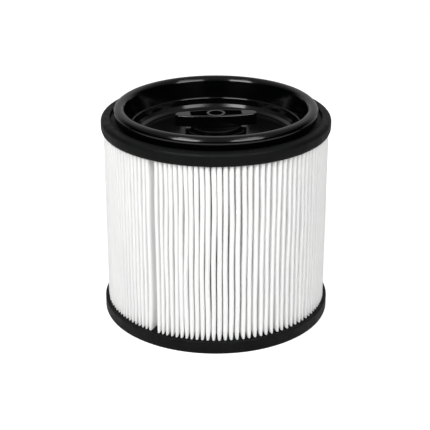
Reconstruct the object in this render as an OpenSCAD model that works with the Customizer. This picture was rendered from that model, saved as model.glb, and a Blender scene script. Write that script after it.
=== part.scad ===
// Pleated cartridge filter for a wet and dry vacuum cleaner, with its plug-in lid and wing knob.
// It stands on the open end, which slides over the cleaner's basket. Z runs up the cartridge's axis.
// The front of the cartridge faces -Y, and angles on it are counted from there towards +X.

/* [Pleated media] */
// Radius over the outer folds of the pleats
media_r = 84.3; // [80:0.1:90]
// Radial depth of the pleats
pleat_depth = 14.1; // [11:0.1:17]
// Number of pleats
pleat_count = 125; // [105:1:135]
// Thickness of the folded sheet
sheet_t = 0.7; // [0.4:0.05:0.8]
// Width of a pleat over its outer fold
fold_w = 2.75; // [2.3:0.05:3]
// Width of the valley between two pleats, at its bottom
valley_w = 0.9; // [0.6:0.05:1]
// How far the pleats are crowded together and spread again around the cartridge, in degrees
pitch_swing = 2.2; // [0:0.1:2.4]
// Uneven placing of single pleats, in degrees
pitch_jitter = 0.1; // [0:0.01:0.15]
// Place of the side seam, in degrees from the front
seam_angle = -33; // [-90:1:90]
// Pitch across the side seam, in degrees
seam_pitch = 5.1; // [4:0.1:7]
// Share of the seam's pitch at which its valley lies
seam_lean = 0.72; // [0.4:0.01:0.75]

/* [Support core] */
// Wall of the lattice tube inside the pleats
core_t = 1.5; // [1.2:0.1:1.8]
// Gap between the lattice tube and the inner folds
core_gap = 0.2; // [0.1:0.05:0.4]
// Number of upright bars
core_bars = 24; // [20:1:30]
// Width of an upright bar
core_bar_w = 4; // [3:0.5:6]
// Number of hoops between the end rings
core_hoops = 8; // [5:1:9]
// Height of a hoop
core_hoop_h = 2.5; // [2:0.5:4]

/* [End rings] */
// Height from the foot of the lower ring to the top of the upper ring
filter_h = 156; // [120:1:200]
// Height of the lower ring
foot_ring_h = 10; // [8:0.5:14]
// Height of the upper ring
head_ring_h = 9.8; // [8.5:0.1:12]
// Depth to which the pleats sit in the lower ring
foot_potting = 6.5; // [4:0.5:7]
// Depth to which the pleats sit in the upper ring
head_potting = 5; // [3:0.5:6]
// Gap around the pleats and the lattice tube in their channels
potting_gap = 0.15; // [0.1:0.05:0.3]
// Wall of the lower ring outside its channel
foot_lip_t = 2.45; // [1.5:0.05:4]
// Wall of the upper ring outside its channel
head_lip_t = 1.55; // [1.2:0.05:3]
// Wall of the lower ring inside its channel, around the cleaner's basket
basket_lip_t = 4.35; // [2.5:0.05:6]
// Rounding of the upper ring's top edge
head_round = 3.2; // [2:0.1:3.6]
// Height of the rounding on the upper ring's lower edge
head_under_round = 3; // [1.5:0.1:4]
// Rounding of the lower ring's foot
foot_round = 1.8; // [0.8:0.1:2.2]
// Rounding of the lower ring's top edge
foot_top_round = 0.7; // [0.3:0.1:1.2]
// Lead-in chamfer at both ends of the basket opening
bore_chamfer = 1.5; // [0.5:0.1:2]
// Thinnest wall between the upper ring's channel and the lid
collar_wall = 1.1; // [0.8:0.1:2]
// Height of the collar that stands inside the lid's rim
collar_h = 3; // [1.5:0.1:4]
// Depth of the groove around the lid's rim
groove_depth = 2.5; // [1.5:0.1:3]
// Clear width of the groove outside the lid's rim
groove_w = 2.7; // [1.5:0.1:3]

/* [Lid] */
// Wall of the lid
lid_t = 1.8; // [1.4:0.1:2.2]
// Gap between the lid and the upper ring
lid_gap = 0.35; // [0.2:0.05:0.5]
// Lean of the bowl's upper wall, in degrees
wall_lean = 17.5; // [12:0.5:20]
// Radius of the rolled rim's section
rim_tube_r = 4.3; // [3.6:0.1:5]
// Height of the rolled rim's centre above its seat
rim_rise = 6.15; // [5.2:0.05:7]
// Depth of the ledge in the bowl, below the rim's centre
ledge_depth = 11; // [8:0.1:12]
// Width of the ledge
ledge_w = 1.4; // [1:0.1:2]
// Depth of the bowl's floor below the rim's centre
floor_depth = 19.65; // [17:0.05:22]
// Lean of the bowl's lower wall, in degrees
lower_lean = 6; // [2:0.5:10]
// Fillet between the floor and the lower wall
floor_fillet = 7; // [2:0.1:7.5]
// Radius of the round boss under the knob
boss_r = 23; // [20:0.5:26]
// Height of the boss above the floor
boss_h = 6; // [5:0.1:9]
// Outer radius of the guide tube around the shaft
guide_r = 10.5; // [9.5:0.1:13]
// Length of the guide tube below the floor's underside
guide_drop = 4; // [3.5:0.1:6]
// Number of stiffening ribs under the floor
rib_count = 8; // [6:1:12]
// Height of a stiffening rib
rib_h = 3; // [2:0.1:3.4]
// Thickness of a stiffening rib
rib_t = 1.4; // [1:0.1:2]

/* [Wing knob] */
// Length of the wing over both ends
wing_l = 61.5; // [50:0.5:80]
// Width of the wing in its middle
wing_w = 15.8; // [15:0.1:18]
// Radius of the wing's round tips
tip_r = 4.5; // [3.8:0.1:5]
// Height of the wing
wing_h = 8.4; // [7:0.1:12]
// Gap between the wing and the knob's round base
wing_lift = 0.3; // [0.2:0.1:1]
// Length of the solid pad at each end of the wing
pad_l = 11.5; // [8:0.5:14]
// Wall around the wing's two pockets
wing_wall = 1.5; // [1.2:0.1:2]
// Depth of the two pockets
pocket_depth = 6.4; // [4:0.1:6.6]
// Rounding of the wing's top edges
wing_edge = 1; // [0.4:0.1:1.2]
// Outer radius of the hub
hub_r = 6.9; // [6.6:0.1:7.4]
// Radius of the knob's round base
base_r = 19.1; // [17:0.1:22]
// Height of the knob's round base
base_h = 2; // [1.5:0.1:3]
// Radius of the screw well in the hub
well_r = 5.1; // [4.6:0.1:5.2]
// Turn of the wing from the left and right direction, in degrees
wing_turn = 5; // [0:1:45]
// Radius of the shaft
shaft_r = 7; // [6.4:0.1:8]
// Running gap of the shaft in its guide
shaft_gap = 0.05; // [0.02:0.01:0.1]
// Gap between turning faces
turn_gap = 0.3; // [0.2:0.05:0.5]

/* [Locking bar] */
// Length of the locking bar over both lugs
bar_l = 48; // [36:1:60]
// Width of the locking bar
bar_w = 13; // [11:0.5:16]
// Thickness of the lugs
lug_t = 4; // [3:0.1:5]
// Drop of the lead-in ramp on a lug
ramp_drop = 1.6; // [0.5:0.1:2.2]
// Radius of the boss in the middle of the bar
bar_boss_r = 10; // [9.5:0.1:12]
// Height of the boss in the middle of the bar
bar_boss_h = 11; // [10:0.5:14]
// Width across the square end of the shaft
square_w = 8.6; // [7.5:0.1:9]
// Length of the square end of the shaft
square_l = 4; // [3:0.5:5]
// Gap around the square end
square_gap = 0.1; // [0.05:0.05:0.2]
// Thickness of the thrust washer
washer_t = 1; // [0.8:0.1:1.5]
// Outer radius of the thrust washer
washer_r = 9.6; // [9:0.1:12]

/* [Screw] */
// Radius of the screw's shank
screw_r = 2; // [1.75:0.05:2.25]
// Radius of the screw's head
screw_head_r = 4.2; // [3.8:0.1:4.4]
// Height of the screw's head
screw_head_h = 2.8; // [2.4:0.1:3.2]
// Thickness of the shaft's end under the screw's head, above the bar
shaft_end_t = 5; // [3:0.5:7]
// Length of the shank
screw_l = 15; // [13:0.5:16]
// Depth of the cross recess in the head
cross_depth = 1.6; // [1:0.1:2]
// Gap around the shank in the shaft
screw_gap = 0.25; // [0.15:0.05:0.35]
// Gap between the screw's thread crests and the pilot hole
pilot_gap = 0.03; // [0.01:0.01:0.05]

/* [Hidden] */
$fn = 96;
ARC_STEP = 15;
SMALL_FN = 48;

// Heights, from the foot up
foot_channel_z = foot_ring_h - foot_potting;
head_ring_z = filter_h - head_ring_h;
head_channel_z = head_ring_z + head_potting;
seat_z = filter_h - groove_depth;
rim_z = seat_z + rim_rise;
ledge_z = rim_z - ledge_depth;
floor_z = rim_z - floor_depth;
under_floor_z = floor_z - lid_t;
boss_z = floor_z + boss_h;
guide_z = under_floor_z - guide_drop;
base_z = boss_z + turn_gap;
base_top_z = base_z + base_h;
wing_z = base_top_z + wing_lift;
wing_top_z = wing_z + wing_h;
washer_top_z = guide_z - turn_gap;
bar_z = washer_top_z - washer_t;
square_z = bar_z - square_l;
screw_seat_z = bar_z + shaft_end_t;
bar_boss_z = bar_z - bar_boss_h;

// Radii, from the outer folds inwards
channel_ro = media_r + potting_gap;
foot_ring_r = channel_ro + foot_lip_t;
head_ring_r = channel_ro + head_lip_t;
media_ri = media_r - pleat_depth;
core_ro = media_ri - core_gap;
core_ri = core_ro - core_t;
channel_ri = core_ri - potting_gap;
basket_bore_r = channel_ri - basket_lip_t;
lid_plug_r = channel_ri - collar_wall - lid_gap;
rim_r = lid_in(rim_z) + rim_tube_r;
SKIRT_ANGLE = 35;
skirt_ro = rim_r + rim_tube_r * cos(SKIRT_ANGLE);
skirt_ri = skirt_ro - lid_t;
collar_ro = skirt_ri - lid_gap;
groove_ro = rim_r + rim_tube_r + groove_w;
lower_top_r = lid_in(ledge_z) - ledge_w;
shaft_bore_r = shaft_r + shaft_gap;
fillet_r = lower_in(floor_z + floor_fillet) - floor_fillet / cos(lower_lean);

// The sheet's folds
fold_r = fold_w / 2;
valley_r = valley_w / 2;
even_pitch = (360 - seam_pitch) / (pleat_count - 1);

// Radius of the lid's upper wall on its outside and its inside, at a height
function lid_out(z) = lid_plug_r + (z - head_channel_z) * tan(wall_lean);
function lid_in(z) = lid_out(z) - lid_t / cos(wall_lean);

// Radius of the lid's lower wall on its inside, at a height
function lower_in(z) = lower_top_r + (z - ledge_z) * tan(lower_lean);

// Points on an arc round a centre, from one angle to another
function arc(centre, r, from, to, steps = 6) =
    [for (i = [0:steps]) centre + r * [cos(from + (to - from) * i / steps),
                                       sin(from + (to - from) * i / steps)]];

// A point on the cartridge's plan, from its radius, its angle from the front and a sideways step
function on_plan(r, angle, aside = 0) =
    [r * sin(angle) + aside * cos(angle), -r * cos(angle) + aside * sin(angle)];

// Angle of a pleat's middle. Pleat 0 follows the seam, and the last pleat comes before it.
function pleat_angle(i) =
    let (u = i / (pleat_count - 1))
    seam_angle + seam_pitch / 2 + i * even_pitch - pitch_swing * sin(1080 * u)
    + pitch_jitter * sin(360 * u) * sin(i * 137.5);

// Angle of the valley that follows a pleat
function valley_angle(i) =
    i < pleat_count - 1
        ? (pleat_angle(i) + pleat_angle(i + 1)) / 2
        : pleat_angle(i) + seam_pitch * seam_lean;

// One face of the sheet over a pleat and the valley after it: its fold has radius outer,
// and its valley has radius inner
function pleat_face(i, outer, inner) =
    let (top = media_r - fold_r, bottom = media_ri + sheet_t + valley_r,
         a = pleat_angle(i), b = valley_angle(i))
    concat(
        [for (t = [-90:45:90]) on_plan(top + outer * cos(t), a, outer * sin(t))],
        [for (t = [-90:60:90]) on_plan(bottom - inner * cos(t), b, inner * sin(t))]
    );

// One face of the whole sheet, as a closed outline
function sheet_face(outer, inner) =
    [for (i = [0:pleat_count - 1]) each pleat_face(i, outer, inner)];

module pleated_media() {
    color([0.93, 0.93, 0.92])
    translate([0, 0, foot_channel_z])
    linear_extrude(head_channel_z - foot_channel_z)
    difference() {
        polygon(sheet_face(fold_r, valley_r));
        polygon(sheet_face(fold_r - sheet_t, valley_r + sheet_t));
    }
}

module support_core() {
    window_zone = head_ring_z - foot_ring_h;
    window_h = (window_zone - core_hoops * core_hoop_h) / (core_hoops + 1);
    bar_angle = core_bar_w / core_ro * 180 / PI;
    cut_from = core_ri - 2;
    cut_to = core_ro + 2;
    color([0.12, 0.12, 0.12])
    difference() {
        translate([0, 0, foot_channel_z])
        linear_extrude(head_channel_z - foot_channel_z)
        difference() {
            circle(core_ro);
            circle(core_ri);
        }
        for (level = [0:core_hoops])
            translate([0, 0, foot_ring_h + level * (window_h + core_hoop_h)])
            linear_extrude(window_h)
            for (k = [0:core_bars - 1]) {
                from = k * 360 / core_bars + bar_angle / 2;
                to = from + 360 / core_bars - bar_angle;
                polygon([on_plan(cut_from, from), on_plan(cut_to, from),
                         on_plan(cut_to, to), on_plan(cut_from, to)]);
            }
    }
}

module top_end_ring() {
    lip_t = 0.4;
    lip_r = channel_ro + lip_t;
    edge = 0.8;
    color([0.1, 0.1, 0.1])
    rotate_extrude()
    polygon(concat(
        // Bore, along the lid's wall, and the collar inside the rim
        [[lid_out(head_ring_z) + lid_gap, head_ring_z]],
        [[lid_out(seat_z + collar_h) + lid_gap, seat_z + collar_h]],
        arc([collar_ro - edge, seat_z + collar_h - edge], edge, 90, 0, 3),
        // Groove around the rim, with the rim's seat as its floor
        [[collar_ro, seat_z], [groove_ro, seat_z]],
        arc([groove_ro + edge, filter_h - edge], edge, 180, 90, 3),
        // Outside
        arc([head_ring_r - head_round, filter_h - head_round], head_round, 90, 0),
        [for (t = [0:ARC_STEP:90])
            [lip_r + (head_ring_r - lip_r) * cos(t), head_ring_z + head_under_round * (1 - sin(t))]],
        // Channel for the pleats and the lattice tube
        [[channel_ro, head_ring_z], [channel_ro, head_channel_z],
         [channel_ri, head_channel_z], [channel_ri, head_ring_z]]
    ));
}

module bottom_end_ring() {
    color([0.1, 0.1, 0.1])
    rotate_extrude()
    polygon(concat(
        [[basket_bore_r, foot_ring_h - bore_chamfer], [basket_bore_r, bore_chamfer],
         [basket_bore_r + bore_chamfer, 0]],
        arc([foot_ring_r - foot_round, foot_round], foot_round, -90, 0),
        arc([foot_ring_r - foot_top_round, foot_ring_h - foot_top_round], foot_top_round, 0, 90, 3),
        [[channel_ro, foot_ring_h], [channel_ro, foot_channel_z],
         [channel_ri, foot_channel_z], [channel_ri, foot_ring_h],
         [basket_bore_r + bore_chamfer, foot_ring_h]]
    ));
}

// Half section of the lid, as a closed outline
function lid_section() =
    let (rim = [rim_r, rim_z],
         tube_in = rim_tube_r - lid_t,
         under_ledge_z = ledge_z - lid_t,
         ledge_edge = 0.9,
         boss_edge = 0.5,
         fillet = [fillet_r, floor_z + floor_fillet],
         outer_fillet = floor_fillet + lid_t)
    concat(
        // Upper side, from the shaft's bore to the rim
        [[shaft_bore_r, guide_z], [shaft_bore_r, boss_z]],
        arc([boss_r - boss_edge, boss_z - boss_edge], boss_edge, 90, 0, 3),
        [[boss_r, floor_z]],
        arc(fillet, floor_fillet, -90, -lower_lean, 4),
        arc([lower_in(ledge_z) + ledge_edge, ledge_z - ledge_edge], ledge_edge, 180, 90, 4),
        [[lid_in(ledge_z), ledge_z]],
        arc(rim, rim_tube_r, 180 - wall_lean, -SKIRT_ANGLE, 14),
        // Skirt of the rim, down to its seat
        [[skirt_ro, seat_z], [skirt_ri, seat_z]],
        arc(rim, tube_in, -SKIRT_ANGLE, 180 - wall_lean, 8),
        // Lower side, back to the guide tube
        [[lid_out(under_ledge_z), under_ledge_z],
         [lower_in(under_ledge_z) + lid_t, under_ledge_z]],
        arc(fillet, outer_fillet, -lower_lean, -90, 4),
        [[boss_r - lid_t, under_floor_z], [boss_r - lid_t, boss_z - lid_t],
         [guide_r, boss_z - lid_t], [guide_r, guide_z]]
    );

module lid() {
    // A rib runs from the boss to where the floor's outer fillet begins
    rib_from = boss_r - lid_t;
    rib_to = fillet_r;
    color([0.06, 0.06, 0.06])
    union() {
        rotate_extrude() polygon(lid_section());
        for (k = [0:rib_count - 1])
            rotate([0, 0, (k + 0.5) * 360 / rib_count])
            translate([rib_from, -rib_t / 2, under_floor_z - rib_h])
            cube([rib_to - rib_from, rib_t, rib_h + lid_t / 2]);
    }
}

// Disc with a rounded top edge
module rounded_disc(r, h, edge) {
    rotate_extrude()
    polygon(concat([[0, 0], [r, 0]], arc([r - edge, h - edge], edge, 0, 90, 4), [[0, h]]));
}

// The wing's two long sides, on arcs that run into its round tips
module wing_sides(inset, h, edge) {
    half = wing_w / 2;
    reach = wing_l / 2 - tip_r;
    side_r = (pow(reach, 2) + pow(half, 2) - pow(tip_r, 2)) / (2 * (half - tip_r));
    intersection() {
        translate([0, side_r - half, 0]) rounded_disc(side_r - inset, h, edge);
        translate([0, half - side_r, 0]) rounded_disc(side_r - inset, h, edge);
    }
}

module wing() {
    reach = wing_l / 2 - tip_r;
    pocket_l = wing_l / 2 - pad_l;
    difference() {
        translate([0, 0, wing_z])
        intersection() {
            wing_sides(0, wing_h, wing_edge);
            union() {
                translate([-reach, -wing_w, 0]) cube([2 * reach, 2 * wing_w, wing_h]);
                for (side = [-1, 1])
                    translate([side * reach, 0, 0]) rounded_disc(tip_r, wing_h, wing_edge);
            }
        }
        // A pocket on each side of the hub
        translate([0, 0, wing_top_z - pocket_depth])
        difference() {
            intersection() {
                wing_sides(wing_wall, pocket_depth + 2 * wing_edge, wing_edge);
                translate([-pocket_l, -wing_w, 0]) cube([2 * pocket_l, 2 * wing_w, pocket_depth + 1]);
            }
            translate([0, 0, -1]) cylinder(r = hub_r, h = pocket_depth + 3);
        }
    }
}

// Round base, neck and shaft, turned as one form
module hub() {
    base_edge = 0.5;
    rotate_extrude()
    polygon(concat(
        [[0, bar_z], [shaft_r, bar_z], [shaft_r, base_z], [base_r, base_z]],
        arc([base_r - base_edge, base_top_z - base_edge], base_edge, 0, 90, 3),
        [[hub_r, base_top_z], [hub_r, wing_z + 1], [0, wing_z + 1]]
    ));
}

module locking_knob() {
    color([0.06, 0.06, 0.06])
    rotate([0, 0, wing_turn])
    difference() {
        union() {
            wing();
            hub();
            translate([-square_w / 2, -square_w / 2, square_z])
            cube([square_w, square_w, square_l + 1]);
        }
        translate([0, 0, screw_seat_z])
        cylinder(r = well_r, h = wing_top_z - screw_seat_z + 1);
        translate([0, 0, square_z - 1])
        cylinder(r = screw_r + screw_gap, h = screw_seat_z - square_z + 2, $fn = SMALL_FN);
    }
}

module thrust_washer() {
    color([0.85, 0.84, 0.8])
    translate([0, 0, bar_z])
    difference() {
        cylinder(r = washer_r, h = washer_t);
        translate([0, 0, -1]) cylinder(r = shaft_r + square_gap, h = washer_t + 2);
    }
}

// Bar with two lugs, each with a lead-in ramp on the side that meets its catch first
module locking_bar() {
    lug_z = bar_z - lug_t;
    corner = bar_w / 4;
    ramp_l = bar_w / 2;
    color([0.08, 0.08, 0.08])
    rotate([0, 0, wing_turn])
    difference() {
        union() {
            translate([0, 0, lug_z])
            linear_extrude(lug_t)
            union() {
                square([bar_l - 2 * corner, bar_w], center = true);
                square([bar_l, bar_w - 2 * corner], center = true);
                for (x = [-1, 1], y = [-1, 1])
                    translate([x * (bar_l / 2 - corner), y * (bar_w / 2 - corner)])
                    circle(corner, $fn = SMALL_FN);
            }
            translate([0, 0, bar_boss_z]) cylinder(r = bar_boss_r, h = bar_boss_h);
        }
        // Ramps outside the boss
        for (side = [0, 180])
            rotate([0, 0, side])
            translate([bar_boss_r + 1, bar_w / 2 - ramp_l, bar_z])
            rotate([90, 0, 90])
            linear_extrude(bar_l)
            polygon([[0, 0], [ramp_l + 1, -ramp_drop * (ramp_l + 1) / ramp_l], [ramp_l + 1, 1], [0, 1]]);
        // Square socket for the shaft and pilot hole for the screw
        translate([-square_w / 2 - square_gap, -square_w / 2 - square_gap, square_z])
        cube([square_w + 2 * square_gap, square_w + 2 * square_gap, square_l + 1]);
        translate([0, 0, bar_boss_z - 1])
        cylinder(r = screw_r + pilot_gap, h = bar_boss_h + 2, $fn = SMALL_FN);
    }
}

// The screw has a domed head with a cross recess, and a point that narrows
module knob_screw() {
    cross_w = 1;
    cross_l = 4.6;
    rim_h = 1.1;
    point_l = 1.5;
    point_r = screw_r - 0.8;
    tip_z = screw_seat_z - screw_l;
    color([0.7, 0.7, 0.72])
    difference() {
        rotate_extrude($fn = SMALL_FN)
        polygon(concat(
            [[0, tip_z], [point_r, tip_z], [screw_r, tip_z + point_l], [screw_r, screw_seat_z],
             [screw_head_r, screw_seat_z]],
            [for (t = [0:ARC_STEP:90])
                [screw_head_r * cos(t), screw_seat_z + rim_h + (screw_head_h - rim_h) * sin(t)]]
        ));
        for (turn = [0, 90])
            rotate([0, 0, turn + wing_turn])
            translate([-cross_l / 2, -cross_w / 2, screw_seat_z + screw_head_h - cross_depth])
            cube([cross_l, cross_w, cross_depth + 1]);
    }
}

pleated_media();
support_core();
top_end_ring();
bottom_end_ring();
lid();
locking_knob();
thrust_washer();
locking_bar();
knob_screw();
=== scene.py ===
"""Looks of the pleated cartridge filter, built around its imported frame."""
import math

import bmesh
import bpy
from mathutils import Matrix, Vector

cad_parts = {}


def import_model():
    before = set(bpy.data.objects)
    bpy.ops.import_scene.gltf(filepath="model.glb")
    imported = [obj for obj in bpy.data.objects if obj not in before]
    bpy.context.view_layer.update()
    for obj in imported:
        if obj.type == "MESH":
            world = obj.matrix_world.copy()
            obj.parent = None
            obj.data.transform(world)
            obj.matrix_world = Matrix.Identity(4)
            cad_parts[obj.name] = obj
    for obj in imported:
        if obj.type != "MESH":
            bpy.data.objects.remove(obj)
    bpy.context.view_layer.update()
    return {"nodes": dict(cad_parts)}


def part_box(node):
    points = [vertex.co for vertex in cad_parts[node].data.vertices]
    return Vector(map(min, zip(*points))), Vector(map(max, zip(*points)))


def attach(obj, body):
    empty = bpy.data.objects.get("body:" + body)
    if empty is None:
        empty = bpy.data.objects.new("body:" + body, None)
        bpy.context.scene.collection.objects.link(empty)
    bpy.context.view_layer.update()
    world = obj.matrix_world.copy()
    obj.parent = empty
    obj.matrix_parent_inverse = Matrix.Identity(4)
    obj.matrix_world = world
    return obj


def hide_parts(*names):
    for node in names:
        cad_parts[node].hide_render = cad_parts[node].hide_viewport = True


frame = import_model()

MM = 0.001
CARTRIDGE = "cartridge"
KNOB = "knob"

# Sizes of the folded sheet, as the frame has them
PLEATS = 125
SEAM_ANGLE = math.radians(-33)
SEAM_PITCH = math.radians(5.1)
SEAM_LEAN = 0.72
PITCH_SWING = math.radians(2.2)
PITCH_JITTER = math.radians(0.1)
PLEAT_DEPTH = 14.1 * MM
SHEET_T = 0.7 * MM
VALLEY_W = 0.9 * MM
FOOT_RING_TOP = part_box("bottom_end_ring")[1].z
HEAD_RING_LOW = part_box("top_end_ring")[0].z
MEDIA_LOW, MEDIA_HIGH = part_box("pleated_media")
MEDIA_R = MEDIA_HIGH.x

# Camera, fitted to the photograph's ellipses
FOCAL = 104.8
SENSOR = 36.0
CAMERA_AT = Vector((0, -0.8881, 0.4564))
LOOK_AT = Vector((-0.00073, 0, 0.0739))


# Node formulas

class Field:
    """A number in a node tree. Sums and products of fields add the Math nodes for them."""

    def __init__(self, tree, socket):
        self.tree = tree
        self.socket = socket

    def math(self, operation, *others):
        node = self.tree.nodes.new("ShaderNodeMath")
        node.operation = operation
        for socket, value in zip(node.inputs, (self, *others)):
            plug(self.tree, value, socket)
        return Field(self.tree, node.outputs[0])

    def __add__(self, other):
        return self.math("ADD", other)

    def __sub__(self, other):
        return self.math("SUBTRACT", other)

    def __mul__(self, other):
        return self.math("MULTIPLY", other)

    def __truediv__(self, other):
        return self.math("DIVIDE", other)

    def __neg__(self):
        return self.math("MULTIPLY", -1.0)

    def sin(self):
        return self.math("SINE")

    def cos(self):
        return self.math("COSINE")

    def floor(self):
        return self.math("FLOOR")

    def below(self, other):
        return self.math("LESS_THAN", other)

    def wrapped(self, size):
        return self.math("FLOORED_MODULO", size)

    def rounded(self):
        return self.math("ROUND")

    def pick(self, if_one, if_zero):
        """if_one where this field is 1, and if_zero where it is 0."""
        return self * (if_one - if_zero) + if_zero


def plug(tree, value, socket):
    """Links a field to a socket, or sets the socket to a plain number."""
    if isinstance(value, Field):
        tree.links.new(value.socket, socket)
    else:
        socket.default_value = value


class FormTree:
    """A Geometry Nodes tree that bends one flat grid into a closed form."""

    def __init__(self, name, sizes, counts):
        self.tree = bpy.data.node_groups.new(name, "GeometryNodeTree")
        self.values = {**sizes, **counts}
        self.tree.interface.new_socket("Geometry", in_out="OUTPUT", socket_type="NodeSocketGeometry")
        for label in sizes:
            self.tree.interface.new_socket(label, in_out="INPUT", socket_type="NodeSocketFloat")
        for label in counts:
            self.tree.interface.new_socket(label, in_out="INPUT", socket_type="NodeSocketInt")
        self.inputs = self.tree.nodes.new("NodeGroupInput")

    def size(self, label):
        return Field(self.tree, self.inputs.outputs[label])

    def number(self, value):
        node = self.tree.nodes.new("ShaderNodeValue")
        node.outputs[0].default_value = value
        return Field(self.tree, node.outputs[0])

    def noise(self, x, y, z, scale=1.0):
        """Smooth noise from about -0.5 to 0.5 at the point x, y, z."""
        at = self.tree.nodes.new("ShaderNodeCombineXYZ")
        for socket, value in zip(at.inputs, (x, y, z)):
            plug(self.tree, value, socket)
        node = self.tree.nodes.new("ShaderNodeTexNoise")
        node.inputs["Scale"].default_value = scale
        node.inputs["Detail"].default_value = 0
        self.tree.links.new(at.outputs[0], node.inputs["Vector"])
        return Field(self.tree, node.outputs[0]) - 0.5

    def grid(self, columns, rows):
        """A flat grid, and the column and the row of each of its points."""
        node = self.tree.nodes.new("GeometryNodeMeshGrid")
        plug(self.tree, columns - 1, node.inputs["Size X"])
        plug(self.tree, rows - 1, node.inputs["Size Y"])
        plug(self.tree, columns, node.inputs["Vertices X"])
        plug(self.tree, rows, node.inputs["Vertices Y"])
        place = self.tree.nodes.new("GeometryNodeInputPosition")
        split = self.tree.nodes.new("ShaderNodeSeparateXYZ")
        self.tree.links.new(place.outputs[0], split.inputs[0])
        column = Field(self.tree, split.outputs[0]) + (columns - 1) * 0.5
        row = Field(self.tree, split.outputs[1]) + (rows - 1) * 0.5
        return node.outputs["Mesh"], column.rounded(), row.rounded()

    def finish(self, mesh, x, y, z, material):
        """Places the grid's points, closes the form where its edges meet and gives it its material."""
        nodes, links = self.tree.nodes, self.tree.links
        at = nodes.new("ShaderNodeCombineXYZ")
        for socket, value in zip(at.inputs, (x, y, z)):
            plug(self.tree, value, socket)
        place = nodes.new("GeometryNodeSetPosition")
        links.new(mesh, place.inputs["Geometry"])
        links.new(at.outputs[0], place.inputs["Position"])
        merge = nodes.new("GeometryNodeMergeByDistance")
        merge.inputs["Distance"].default_value = 1e-6
        links.new(place.outputs[0], merge.inputs["Geometry"])
        smooth = nodes.new("GeometryNodeSetShadeSmooth")
        links.new(merge.outputs[0], smooth.inputs[0])
        real = nodes.new("GeometryNodeRealizeInstances")
        links.new(smooth.outputs[0], real.inputs[0])
        paint = nodes.new("GeometryNodeSetMaterial")
        paint.inputs["Material"].default_value = material
        links.new(real.outputs[0], paint.inputs["Geometry"])
        out = nodes.new("NodeGroupOutput")
        links.new(paint.outputs[0], out.inputs[0])

    def mesh_object(self, name, material):
        """Runs the tree once and keeps its result as a plain mesh."""
        blank = bpy.data.objects.new(name + "_form", bpy.data.meshes.new(name + "_form"))
        bpy.context.scene.collection.objects.link(blank)
        modifier = blank.modifiers.new("form", "NODES")
        modifier.node_group = self.tree
        for item in self.tree.interface.items_tree:
            if item.in_out == "INPUT":
                modifier[item.identifier] = self.values[item.name]
        mesh = bpy.data.meshes.new_from_object(blank.evaluated_get(bpy.context.evaluated_depsgraph_get()))
        blank.modifiers.clear()
        bpy.data.objects.remove(blank)
        return mesh_piece(name, mesh, material)


def mesh_piece(name, mesh, material):
    """An object for a finished mesh, at the origin, with its faces pointing outwards."""
    turned = bmesh.new()
    turned.from_mesh(mesh)
    bmesh.ops.recalc_face_normals(turned, faces=turned.faces)
    turned.to_mesh(mesh)
    turned.free()
    mesh.materials.clear()
    mesh.materials.append(material)
    piece = bpy.data.objects.new(name, mesh)
    bpy.context.scene.collection.objects.link(piece)
    return piece


# Materials

class Finish:
    """A procedural material on one Principled shader, with its texture nodes in object space."""

    def __init__(self, name, color, roughness, **sockets):
        self.material = bpy.data.materials.new(name)
        self.material.use_nodes = True
        self.tree = self.material.node_tree
        self.shader = self.tree.nodes["Principled BSDF"]
        self.shader.inputs["Base Color"].default_value = (*color, 1)
        self.shader.inputs["Roughness"].default_value = roughness
        for label, value in sockets.items():
            self.shader.inputs[label.replace("_", " ")].default_value = value
        self.place = self.tree.nodes.new("ShaderNodeTexCoord").outputs["Object"]

    def noise(self, scale, detail=3.0, stretch=(1, 1, 1)):
        mapping = self.tree.nodes.new("ShaderNodeMapping")
        mapping.inputs["Scale"].default_value = stretch
        self.tree.links.new(self.place, mapping.inputs["Vector"])
        node = self.tree.nodes.new("ShaderNodeTexNoise")
        node.inputs["Scale"].default_value = scale
        node.inputs["Detail"].default_value = detail
        self.tree.links.new(mapping.outputs[0], node.inputs["Vector"])
        return node.outputs[0]

    def ramp(self, factor, stops):
        """Colours along a factor, from stops of (place, colour)."""
        node = self.tree.nodes.new("ShaderNodeValToRGB")
        elements = node.color_ramp.elements
        while len(elements) < len(stops):
            elements.new(0.5)
        for element, (place, color) in zip(elements, stops):
            element.position = place
            element.color = (*color, 1)
        self.tree.links.new(factor, node.inputs[0])
        return node.outputs[0]

    def spread(self, factor, low, high, to_low, to_high):
        node = self.tree.nodes.new("ShaderNodeMapRange")
        for label, value in zip(("From Min", "From Max", "To Min", "To Max"), (low, high, to_low, to_high)):
            node.inputs[label].default_value = value
        self.tree.links.new(factor, node.inputs["Value"])
        return node.outputs[0]

    def color(self, output):
        self.tree.links.new(output, self.shader.inputs["Base Color"])

    def roughness(self, output):
        self.tree.links.new(output, self.shader.inputs["Roughness"])

    def bump(self, *layers):
        """Stacks bump layers of (height output, strength, distance)."""
        before = None
        for height, strength, distance in layers:
            node = self.tree.nodes.new("ShaderNodeBump")
            node.inputs["Strength"].default_value = strength
            node.inputs["Distance"].default_value = distance
            self.tree.links.new(height, node.inputs["Height"])
            if before is not None:
                self.tree.links.new(before, node.inputs["Normal"])
            before = node.outputs[0]
        self.tree.links.new(before, self.shader.inputs["Normal"])


def filter_felt():
    """White needle felt: faint cloudy tone, upright drag marks and a fibrous surface."""
    felt = Finish("filter_felt", (0.9, 0.9, 0.89), 0.95, Specular_IOR_Level=0.15)
    cloud = felt.noise(60, 4, (1, 1, 0.25))
    felt.color(felt.ramp(cloud, [(0.3, (0.875, 0.878, 0.88)), (0.7, (0.915, 0.913, 0.9))]))
    felt.bump((felt.noise(900, 5), 0.25, 0.0004), (felt.noise(2600, 3, (1, 1, 0.4)), 0.2, 0.0002))
    return felt.material


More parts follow.
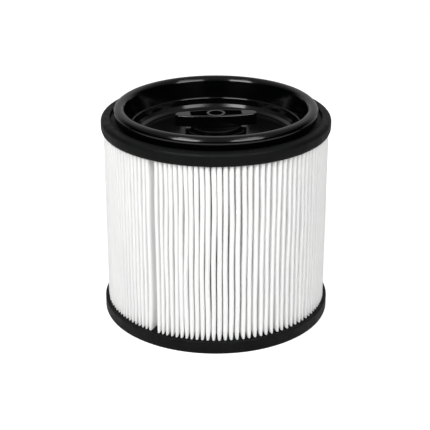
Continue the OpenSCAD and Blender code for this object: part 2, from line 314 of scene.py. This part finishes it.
def ring_rubber():
    """Cast black polyurethane: satin, with soft flow marks and a fine grain."""
    rubber = Finish("ring_rubber", (0.003, 0.0032, 0.0031), 0.5, Specular_IOR_Level=0.12)
    cloud = rubber.noise(45, 5)
    rubber.color(rubber.ramp(cloud, [(0.3, (0.0016, 0.0018, 0.0017)), (0.72, (0.0036, 0.004, 0.0038))]))
    rubber.roughness(rubber.spread(rubber.noise(140, 4), 0.3, 0.7, 0.42, 0.6))
    rubber.bump((rubber.noise(1500, 4), 0.12, 0.0003), (rubber.noise(120, 3), 0.08, 0.002))
    return rubber.material


def lid_plastic():
    """Glossy black moulding, with faint flow marks and a light haze of handling."""
    gloss = Finish("lid_plastic", (0.0006, 0.0007, 0.0007), 0.12, Specular_IOR_Level=0.42)
    haze = gloss.noise(35, 5, (1, 1, 2))
    gloss.roughness(gloss.spread(haze, 0.3, 0.7, 0.1, 0.15))
    gloss.bump((gloss.noise(90, 3), 0.03, 0.001), (gloss.noise(2200, 2), 0.02, 0.0001))
    return gloss.material


def knob_plastic():
    """Black moulding like the lid's, a little duller where fingers hold it."""
    gloss = Finish("knob_plastic", (0.0006, 0.0007, 0.0007), 0.2, Specular_IOR_Level=0.42)
    gloss.roughness(gloss.spread(gloss.noise(80, 4), 0.3, 0.7, 0.16, 0.26))
    gloss.bump((gloss.noise(1800, 3), 0.06, 0.0002),)
    return gloss.material


def core_plastic():
    """Plain black moulding of the lattice tube and the locking bar."""
    matte = Finish("core_plastic", (0.012, 0.012, 0.012), 0.45)
    matte.roughness(matte.spread(matte.noise(110, 4), 0.3, 0.7, 0.38, 0.55))
    matte.bump((matte.noise(1300, 4), 0.1, 0.0003),)
    return matte.material


def washer_nylon():
    """Natural nylon, slightly waxy."""
    nylon = Finish("washer_nylon", (0.75, 0.73, 0.66), 0.4, Subsurface_Weight=0.1)
    nylon.shader.inputs["Subsurface Scale"].default_value = 0.002
    nylon.color(nylon.ramp(nylon.noise(260, 3), [(0.3, (0.7, 0.68, 0.61)), (0.7, (0.79, 0.77, 0.7))]))
    nylon.bump((nylon.noise(1600, 3), 0.08, 0.0002),)
    return nylon.material


def screw_steel():
    """Zinc-plated steel with a faint brushed grain."""
    steel = Finish("screw_steel", (0.62, 0.62, 0.64), 0.3, Metallic=1.0)
    grain = steel.noise(1400, 3, (1, 1, 0.15))
    steel.color(steel.ramp(grain, [(0.3, (0.55, 0.56, 0.58)), (0.7, (0.68, 0.68, 0.7))]))
    steel.roughness(steel.spread(grain, 0.3, 0.7, 0.24, 0.4))
    steel.bump((grain, 0.06, 0.0001),)
    return steel.material


FELT = filter_felt()
RUBBER = ring_rubber()
GLOSS = lid_plastic()
KNOB_GLOSS = knob_plastic()
MATTE = core_plastic()
NYLON = washer_nylon()
STEEL = screw_steel()


# The pleated sheet

NOSE_POINTS = 9
VALLEY_POINTS = 4
SHEET_ROWS = 26
# Exponent of the folds' blunt outline, where 2 is an ellipse
BLUNT = 2.6


def pleat_middle(pleat):
    """Angle of a pleat's middle. Pleat 0 follows the seam, and the last one comes before it."""
    turn = pleat / (PLEATS - 1)
    even = (2 * math.pi - SEAM_PITCH) / (PLEATS - 1)
    swing = (turn * math.radians(1080)).sin() * PITCH_SWING
    jitter = (turn * math.tau).sin() * (pleat * math.radians(137.5)).sin() * PITCH_JITTER
    return pleat * even - swing + jitter + (SEAM_ANGLE + SEAM_PITCH / 2)


def valley_middle(pleat):
    """Angle of the valley after a pleat. The one after the last pleat is the seam's."""
    here = pleat_middle(pleat)
    after = pleat_middle(pleat + 1)
    inner = pleat.below(PLEATS - 1.5)
    return inner.pick((here + after) * 0.5, here + SEAM_PITCH * SEAM_LEAN)


def blunted(wave):
    """A sine or cosine raised to the outline's power, with its sign kept."""
    return wave.math("ABSOLUTE").math("POWER", 2 / BLUNT) * wave.math("SIGN")


def pleated_sheet():
    form = FormTree(
        "fold_sheet",
        {"Outer radius": MEDIA_R, "Depth": PLEAT_DEPTH, "Sheet": SHEET_T, "Fold width": 3.7 * MM,
         "Fold depth": 4.5 * MM, "Valley width": VALLEY_W, "Foot": MEDIA_LOW.z, "Head": MEDIA_HIGH.z,
         "Potting": FOOT_RING_TOP},
        {"Pleats": PLEATS, "Rows": SHEET_ROWS},
    )
    per_pleat = NOSE_POINTS + VALLEY_POINTS
    outer_r, depth, sheet = form.size("Outer radius"), form.size("Depth"), form.size("Sheet")
    foot, head, potting = form.size("Foot"), form.size("Head"), form.size("Potting")
    rows = form.size("Rows")
    mesh, column, row = form.grid(form.size("Pleats") * per_pleat + 1, rows * 2 + 1)

    # Which pleat a point is on, and where it is on the pleat's section
    pleat = (column / per_pleat).floor().wrapped(PLEATS)
    point = column.wrapped(per_pleat)
    on_nose = point.below(NOSE_POINTS - 0.5)
    nose_turn = point * (math.pi / (NOSE_POINTS - 1)) - math.pi / 2
    valley_turn = (point - NOSE_POINTS) * (math.pi / (VALLEY_POINTS - 1)) - math.pi / 2

    # Rows run up the outer face and down the inner one. They are closer near both ends.
    step = row.wrapped(rows * 2)
    outside = step.below(rows - 0.5)
    level = outside.pick(step, rows * 2 - 1 - step) / (rows - 1)
    height = level - (level * math.tau).sin() * (0.72 / math.tau)
    z = foot + (head - foot) * height

    # Pleats lean and swell a little over their height, and are pinched above the lower ring
    above = ((z - potting) / (10 * MM)).math("MAXIMUM", 0.0).math("MINIMUM", 1.0)
    pinch = -((-above + 1).math("POWER", 2.0) * 0.38) + 1
    ends = (level * math.pi).sin().math("POWER", 0.6)
    lean = form.noise(pleat * 0.9, z * 22, 3.7) * (1.3 * MM) + form.noise(pleat * 0.16, z * 14, 8.1) * (1.6 * MM)
    swell = form.noise(pleat * 1.7, z * 26, 21.3) * 0.22
    proud = (form.noise(pleat * 2.3, z * 20, 40.9) * (0.6 * MM) - 0.15 * MM).math("MINIMUM", 0.0)

    # The gap to each neighbour sets how wide a fold can bulge
    here = pleat_middle(pleat)
    side = point.below(NOSE_POINTS / 2 - 0.5).pick(form.number(-1), form.number(1))
    beside = (valley_middle(pleat) - here).math("MINIMUM", SEAM_PITCH * 0.5) * outer_r
    before = (here - valley_middle((pleat - 1).wrapped(PLEATS))).wrapped(math.tau)
    beside_before = before.math("MINIMUM", SEAM_PITCH * 0.5) * outer_r
    free = side.below(0).pick(beside_before, beside) - 0.22 * MM
    nose_half = (form.size("Fold width") * 0.5).math("MINIMUM", free) * pinch * (swell * ends + 1)
    nose_half = nose_half - outside.pick(form.number(0), sheet)
    nose_depth = form.size("Fold depth") * pinch
    nose_r = outer_r + proud - outside.pick(form.number(0), sheet)
    valley_half = form.size("Valley width") * 0.5
    inner_fold = outside.pick(valley_half, valley_half + sheet)
    valley_at = outer_r - depth + sheet + valley_half

    nose_in = nose_depth * (-blunted(nose_turn.cos()) + 1)
    radius = on_nose.pick(nose_r - nose_in, valley_at - inner_fold * valley_turn.cos())
    aside = on_nose.pick(nose_half * blunted(nose_turn.sin()) + lean * ends, inner_fold * valley_turn.sin())
    angle = on_nose.pick(here, valley_middle(pleat))
    x = radius * angle.sin() + aside * angle.cos()
    y = aside * angle.sin() - radius * angle.cos()
    form.finish(mesh, x, y, z, FELT)
    piece = form.mesh_object("pleated_sheet", FELT)
    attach(piece, CARTRIDGE)
    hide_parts("pleated_media")
    return piece


# Cast resin that has crept up between the pleats

CREEP_STEPS = 8


def resin_creep(name, ring_face, way, reach, seed):
    """A thin ring of resin on a ring's face, drawn out between the pleats by up to reach."""
    form = FormTree(
        name + "_tree",
        {"Outer radius": MEDIA_R, "Face": ring_face, "Way": way, "Reach": reach},
        {"Pleats": PLEATS, "Seed": seed},
    )
    outer_r, face, way_out = form.size("Outer radius"), form.size("Face"), form.size("Way")
    section = 7
    mesh, column, row = form.grid(form.size("Pleats") * CREEP_STEPS + 1, form.number(section + 1))
    pleat = (column / CREEP_STEPS).floor().wrapped(PLEATS)
    share = column.wrapped(CREEP_STEPS) / CREEP_STEPS
    here = pleat_middle(pleat)
    after = (pleat + 1).below(PLEATS - 0.5).pick(pleat_middle(pleat + 1), here + SEAM_PITCH)
    angle = here + (after - here) * share
    between = ((share * math.pi).sin()).math("POWER", 1.4)
    uneven = form.noise(pleat * 1.3, form.size("Seed"), 0.4) * 1.1 + 1
    drawn = between * uneven * form.size("Reach")

    # Section of the ring: out over its face, then back below it
    step = row.wrapped(section)
    inward = step.math("MINIMUM", 5.0) / 5
    on_top = step.below(4.5)
    deep = step.math("MINIMUM", 4.0) / 4
    radius = outer_r + 0.5 * MM - deep * (6 * MM) - (step - 4).math("MAXIMUM", 0.0) * -1.6 * MM
    rise = drawn * (inward * (math.pi / 2)).sin().math("POWER", 1.5) + inward * 0.3 * MM
    z = face + way_out * on_top.pick(rise, form.number(-0.6 * MM))
    form.finish(mesh, radius * angle.sin(), -radius * angle.cos(), z, RUBBER)
    piece = form.mesh_object(name, RUBBER)
    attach(piece, CARTRIDGE)
    return piece


# Pieces that keep the frame's form

def carried(node, material):
    """Gives a frame node its finish."""
    mesh = frame["nodes"][node].data
    mesh.materials.clear()
    mesh.materials.append(material)


# Studio

BACK_WALL = 0.45
CEILING = 0.3


def backdrop():
    """White floor that keeps the object's soft shadow."""
    bpy.ops.mesh.primitive_plane_add(size=6, location=(0, 0, 0))
    floor = bpy.context.object
    floor.name = "studio_floor"
    material = bpy.data.materials.new("studio_floor")
    material.use_nodes = True
    nodes, links = material.node_tree.nodes, material.node_tree.links
    shader = nodes["Principled BSDF"]
    shader.inputs["Base Color"].default_value = (0.75, 0.75, 0.75, 1)
    shader.inputs["Roughness"].default_value = 0.9
    shader.inputs["Specular IOR Level"].default_value = 0.0
    glow = nodes.new("ShaderNodeEmission")
    glow.inputs["Color"].default_value = (1, 1, 1, 1)
    glow.inputs["Strength"].default_value = 0.66
    path = nodes.new("ShaderNodeLightPath")
    seen = nodes.new("ShaderNodeMixShader")
    both = nodes.new("ShaderNodeAddShader")
    links.new(shader.outputs[0], both.inputs[0])
    links.new(glow.outputs[0], both.inputs[1])
    links.new(path.outputs["Is Camera Ray"], seen.inputs[0])
    links.new(shader.outputs[0], seen.inputs[1])
    links.new(both.outputs[0], seen.inputs[2])
    links.new(seen.outputs[0], nodes["Material Output"].inputs["Surface"])
    floor.data.materials.append(material)


def world():
    """White surroundings for the camera. Around the object: a white wall behind it and a dim ceiling."""
    studio = bpy.data.worlds.new("studio")
    bpy.context.scene.world = studio
    studio.use_nodes = True
    nodes, links = studio.node_tree.nodes, studio.node_tree.links
    back = nodes["Background"]
    place = nodes.new("ShaderNodeTexCoord")
    split = nodes.new("ShaderNodeSeparateXYZ")
    links.new(place.outputs["Generated"], split.inputs[0])

    def rise(axis, start, end, strength):
        tone = nodes.new("ShaderNodeMapRange")
        tone.interpolation_type = "SMOOTHSTEP"
        for label, value in (("From Min", start), ("From Max", end), ("To Min", 0.0), ("To Max", strength)):
            tone.inputs[label].default_value = value
        links.new(split.outputs[axis], tone.inputs["Value"])
        return tone.outputs[0]

    total = nodes.new("ShaderNodeMath")
    links.new(rise("Y", 0.35, 0.85, BACK_WALL), total.inputs[0])
    links.new(rise("Z", 0.3, 0.75, CEILING), total.inputs[1])
    path = nodes.new("ShaderNodeLightPath")
    pick = nodes.new("ShaderNodeMix")
    pick.data_type = "FLOAT"
    links.new(path.outputs["Is Camera Ray"], pick.inputs[0])
    links.new(total.outputs[0], pick.inputs[2])
    pick.inputs[3].default_value = 1.0
    back.inputs["Color"].default_value = (1, 1, 1, 1)
    links.new(pick.outputs[0], back.inputs["Strength"])


def softbox(name, azimuth, elevation, distance, width, height, watts):
    """An area light that faces the object, at an azimuth from the front towards +X."""
    data = bpy.data.lights.new(name, "AREA")
    data.shape = "RECTANGLE"
    data.size = width
    data.size_y = height
    data.energy = watts
    lamp = bpy.data.objects.new(name, data)
    a, e = math.radians(azimuth), math.radians(elevation)
    aim = Vector((0, 0, 0.1))
    away = Vector((math.sin(a) * math.cos(e), -math.cos(a) * math.cos(e), math.sin(e)))
    lamp.location = aim + away * distance
    lamp.rotation_euler = (-away).to_track_quat("-Z", "Y").to_euler()
    bpy.context.scene.collection.objects.link(lamp)


def camera():
    data = bpy.data.cameras.new("camera")
    data.sensor_width = SENSOR
    data.lens = FOCAL
    view = bpy.data.objects.new("camera", data)
    view.location = CAMERA_AT
    view.rotation_euler = (LOOK_AT - CAMERA_AT).to_track_quat("-Z", "Y").to_euler()
    bpy.context.scene.collection.objects.link(view)
    bpy.context.scene.camera = view


bpy.context.scene.view_settings.view_transform = "Standard"
camera()
world()
backdrop()
softbox("left_softbox", -35, 43, 1.3, 0.58, 0.75, 12.6)
softbox("right_softbox", 37, 43, 1.3, 0.7, 0.75, 9)

pleated_sheet()
resin_creep("foot_resin", FOOT_RING_TOP, 1.0, 3.4 * MM, 3)
resin_creep("head_resin", HEAD_RING_LOW, -1.0, 0.7 * MM, 9)
carried("support_core", MATTE)
carried("top_end_ring", RUBBER)
carried("bottom_end_ring", RUBBER)
carried("lid", GLOSS)
carried("thrust_washer", NYLON)
carried("knob_screw", STEEL)
carried("locking_bar", MATTE)
carried("locking_knob", KNOB_GLOSS)
